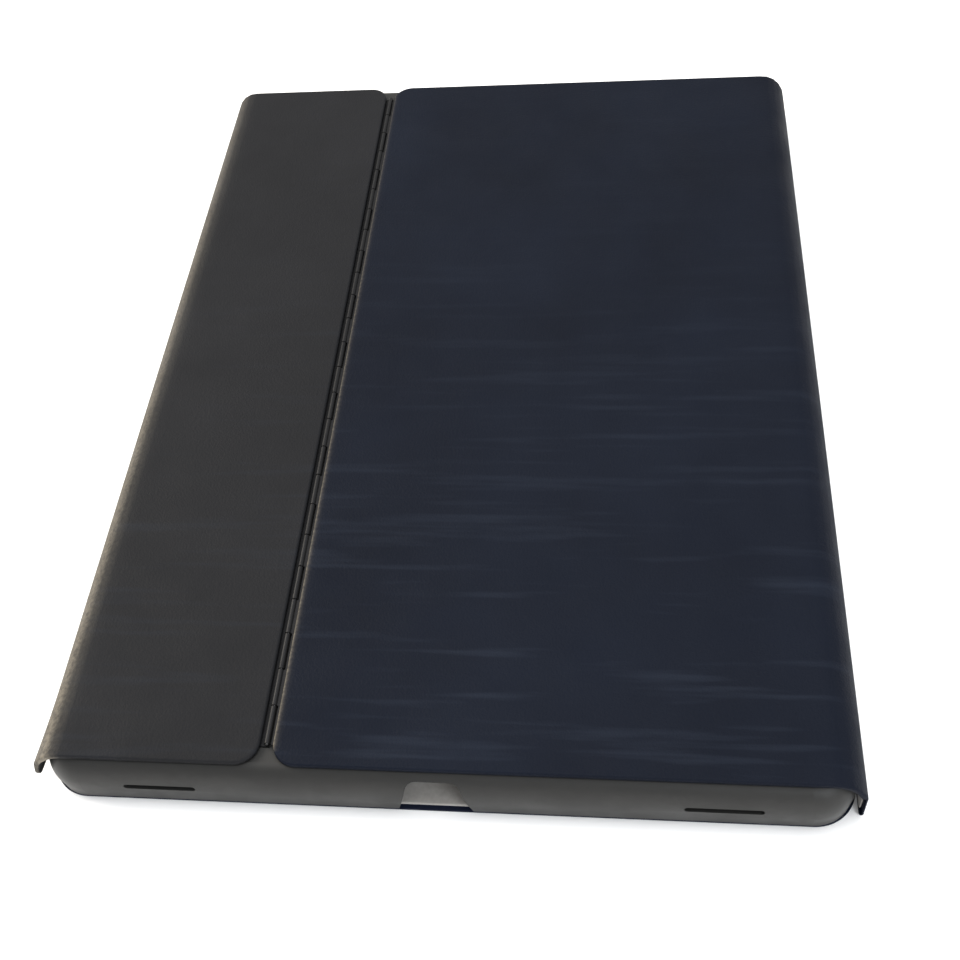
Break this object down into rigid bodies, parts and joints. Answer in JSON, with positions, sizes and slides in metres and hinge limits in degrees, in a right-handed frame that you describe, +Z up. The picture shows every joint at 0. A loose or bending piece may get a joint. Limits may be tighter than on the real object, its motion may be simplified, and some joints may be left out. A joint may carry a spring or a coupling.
{
  "type": "tablet keyboard case",
  "caption": "Closed folio case for a large tablet: hard rear shell with a leatherette kickstand panel and wrapped left panel, spined to a slim keyboard base.",
  "frame": {"origin": "middle of the footprint, on the surface that the closed case lies on", "axes": "+Z up out of the panelled back, +Y along the case's long side away from the charging notch, +X towards the spine"},
  "size_m": [0.231, 0.3212, 0.02],
  "materials": {
    "navy_leatherette": "fine-grained navy leatherette, satin, worn pale along the edges",
    "grey_shell": "matte moulded warm grey",
    "light_lining": "light warm grey brushed lining",
    "bay_lining": "dark grey microfibre pad",
    "deck_plastic": "light grey moulded deck",
    "key_plastic": "dark matte key tops",
    "black_steel": "black-coated steel",
    "bright_steel": "plain steel",
    "stiffener_board": "dark fibre-filled board",
    "circuit_green": "solder-masked board",
    "cell_foil": "foil pouch",
    "soft_rubber": "soft moulded rubber",
    "connector_plastic": "black moulded plastic",
    "gold_contact": "gold-plated contacts",
    "light_lens": "clear light guide"
  },
  "bodies": {
    "keyboard_base": {"base_cover": "navy_leatherette", "base_lining": "light_lining", "keyboard_tray": "deck_plastic", "keyboard_deck": "deck_plastic", "housing_screws": "bright_steel", "key_domes": "soft_rubber", "circuit_board": "circuit_green", "support_plate": "bright_steel", "battery_left": "cell_foil", "battery_right": "cell_foil", "controller_board": "circuit_green", "closure_magnets": "bright_steel", "screen_bumpers": "soft_rubber", "charge_light": "light_lens"},
    "spine": {"spine_cover": "navy_leatherette", "spine_lining": "light_lining"},
    "rear_case": {"rear_shell": "grey_shell", "shell_lining": "bay_lining", "stand_magnets": "bright_steel", "dock_strip": "connector_plastic", "connector_block": "connector_plastic", "connector_contacts": "gold_contact", "left_board": "stiffener_board", "left_cover": "navy_leatherette", "hinge_leaf_fixed": "black_steel", "hinge_pin": "bright_steel"},
    "kickstand": {"stand_plate": "stiffener_board", "stand_cover": "navy_leatherette", "hinge_leaf_moving": "black_steel"},
    "power_button": {"power_button": "grey_shell"},
    "volume_up_button": {"volume_up_button": "grey_shell"},
    "volume_down_button": {"volume_down_button": "grey_shell"},
    "function_keys": {"function_keys": "key_plastic"},
    "number_keys": {"number_keys": "key_plastic"},
    "top_letter_keys": {"top_letter_keys": "key_plastic"},
    "home_letter_keys": {"home_letter_keys": "key_plastic"},
    "bottom_letter_keys": {"bottom_letter_keys": "key_plastic"},
    "modifier_keys": {"modifier_keys": "key_plastic"},
    "delete_key": {"delete_key": "key_plastic"},
    "tab_key": {"tab_key": "key_plastic"},
    "caps_lock_key": {"caps_lock_key": "key_plastic"},
    "return_key": {"return_key": "key_plastic"},
    "left_shift_key": {"left_shift_key": "key_plastic"},
    "right_shift_key": {"right_shift_key": "key_plastic"},
    "space_bar": {"space_bar": "key_plastic"},
    "left_arrow_key": {"left_arrow_key": "key_plastic"},
    "up_arrow_key": {"up_arrow_key": "key_plastic"},
    "down_arrow_key": {"down_arrow_key": "key_plastic"},
    "right_arrow_key": {"right_arrow_key": "key_plastic"}
  },
  "joints": [
    {"name": "base_spine_hinge", "type": "hinge", "parent": "keyboard_base", "child": "spine", "pos_m": [0.115, 0, 0.00075], "axis": [0, 1, 0], "range_deg": [0, 90]},
    {"name": "case_spine_hinge", "type": "hinge", "parent": "spine", "child": "rear_case", "pos_m": [0.115, 0, 0.0106], "axis": [0, 1, 0], "range_deg": [0, 24.8]},
    {"name": "back_stand_hinge", "type": "hinge", "parent": "rear_case", "child": "kickstand", "pos_m": [-0.0468, 0, 0.019], "axis": [0, -1, 0], "range_deg": [0, 55]},
    {"name": "button_power_press", "type": "slide", "parent": "rear_case", "child": "power_button", "axis": [0, -1, 0], "range_m": [0, 0.0004], "stiffness_N_per_m": 800, "springref_m": -0.0005},
    {"name": "button_volume_up_press", "type": "slide", "parent": "rear_case", "child": "volume_up_button", "axis": [1, 0, 0], "range_m": [0, 0.0004], "stiffness_N_per_m": 800, "springref_m": -0.0005},
    {"name": "button_volume_down_press", "type": "slide", "parent": "rear_case", "child": "volume_down_button", "axis": [1, 0, 0], "range_m": [0, 0.0004], "stiffness_N_per_m": 800, "springref_m": -0.0005},
    {"name": "key_bottom_letter_press", "type": "slide", "parent": "keyboard_base", "child": "bottom_letter_keys", "axis": [0, 0, -1], "range_m": [0, 0.0012], "stiffness_N_per_m": 1200, "springref_m": -0.0008},
    {"name": "key_caps_lock_press", "type": "slide", "parent": "keyboard_base", "child": "caps_lock_key", "axis": [0, 0, -1], "range_m": [0, 0.0012], "stiffness_N_per_m": 300, "springref_m": -0.0008},
    {"name": "key_delete_press", "type": "slide", "parent": "keyboard_base", "child": "delete_key", "axis": [0, 0, -1], "range_m": [0, 0.0012], "stiffness_N_per_m": 300, "springref_m": -0.0008},
    {"name": "key_down_arrow_press", "type": "slide", "parent": "keyboard_base", "child": "down_arrow_key", "axis": [0, 0, -1], "range_m": [0, 0.0012], "stiffness_N_per_m": 300, "springref_m": -0.0008},
    {"name": "key_function_press", "type": "slide", "parent": "keyboard_base", "child": "function_keys", "axis": [0, 0, -1], "range_m": [0, 0.0012], "stiffness_N_per_m": 1200, "springref_m": -0.0008},
    {"name": "key_home_letter_press", "type": "slide", "parent": "keyboard_base", "child": "home_letter_keys", "axis": [0, 0, -1], "range_m": [0, 0.0012], "stiffness_N_per_m": 1200, "springref_m": -0.0008},
    {"name": "key_left_arrow_press", "type": "slide", "parent": "keyboard_base", "child": "left_arrow_key", "axis": [0, 0, -1], "range_m": [0, 0.0012], "stiffness_N_per_m": 300, "springref_m": -0.0008},
    {"name": "key_left_shift_press", "type": "slide", "parent": "keyboard_base", "child": "left_shift_key", "axis": [0, 0, -1], "range_m": [0, 0.0012], "stiffness_N_per_m": 300, "springref_m": -0.0008},
    {"name": "key_modifier_press", "type": "slide", "parent": "keyboard_base", "child": "modifier_keys", "axis": [0, 0, -1], "range_m": [0, 0.0012], "stiffness_N_per_m": 1200, "springref_m": -0.0008},
    {"name": "key_number_press", "type": "slide", "parent": "keyboard_base", "child": "number_keys", "axis": [0, 0, -1], "range_m": [0, 0.0012], "stiffness_N_per_m": 1200, "springref_m": -0.0008},
    {"name": "key_return_press", "type": "slide", "parent": "keyboard_base", "child": "return_key", "axis": [0, 0, -1], "range_m": [0, 0.0012], "stiffness_N_per_m": 300, "springref_m": -0.0008},
    {"name": "key_right_arrow_press", "type": "slide", "parent": "keyboard_base", "child": "right_arrow_key", "axis": [0, 0, -1], "range_m": [0, 0.0012], "stiffness_N_per_m": 300, "springref_m": -0.0008},
    {"name": "key_right_shift_press", "type": "slide", "parent": "keyboard_base", "child": "right_shift_key", "axis": [0, 0, -1], "range_m": [0, 0.0012], "stiffness_N_per_m": 300, "springref_m": -0.0008},
    {"name": "key_space_bar_press", "type": "slide", "parent": "keyboard_base", "child": "space_bar", "axis": [0, 0, -1], "range_m": [0, 0.0012], "stiffness_N_per_m": 300, "springref_m": -0.0008},
    {"name": "key_tab_press", "type": "slide", "parent": "keyboard_base", "child": "tab_key", "axis": [0, 0, -1], "range_m": [0, 0.0012], "stiffness_N_per_m": 300, "springref_m": -0.0008},
    {"name": "key_top_letter_press", "type": "slide", "parent": "keyboard_base", "child": "top_letter_keys", "axis": [0, 0, -1], "range_m": [0, 0.0012], "stiffness_N_per_m": 1200, "springref_m": -0.0008},
    {"name": "key_up_arrow_press", "type": "slide", "parent": "keyboard_base", "child": "up_arrow_key", "axis": [0, 0, -1], "range_m": [0, 0.0012], "stiffness_N_per_m": 300, "springref_m": -0.0008}
  ]
}
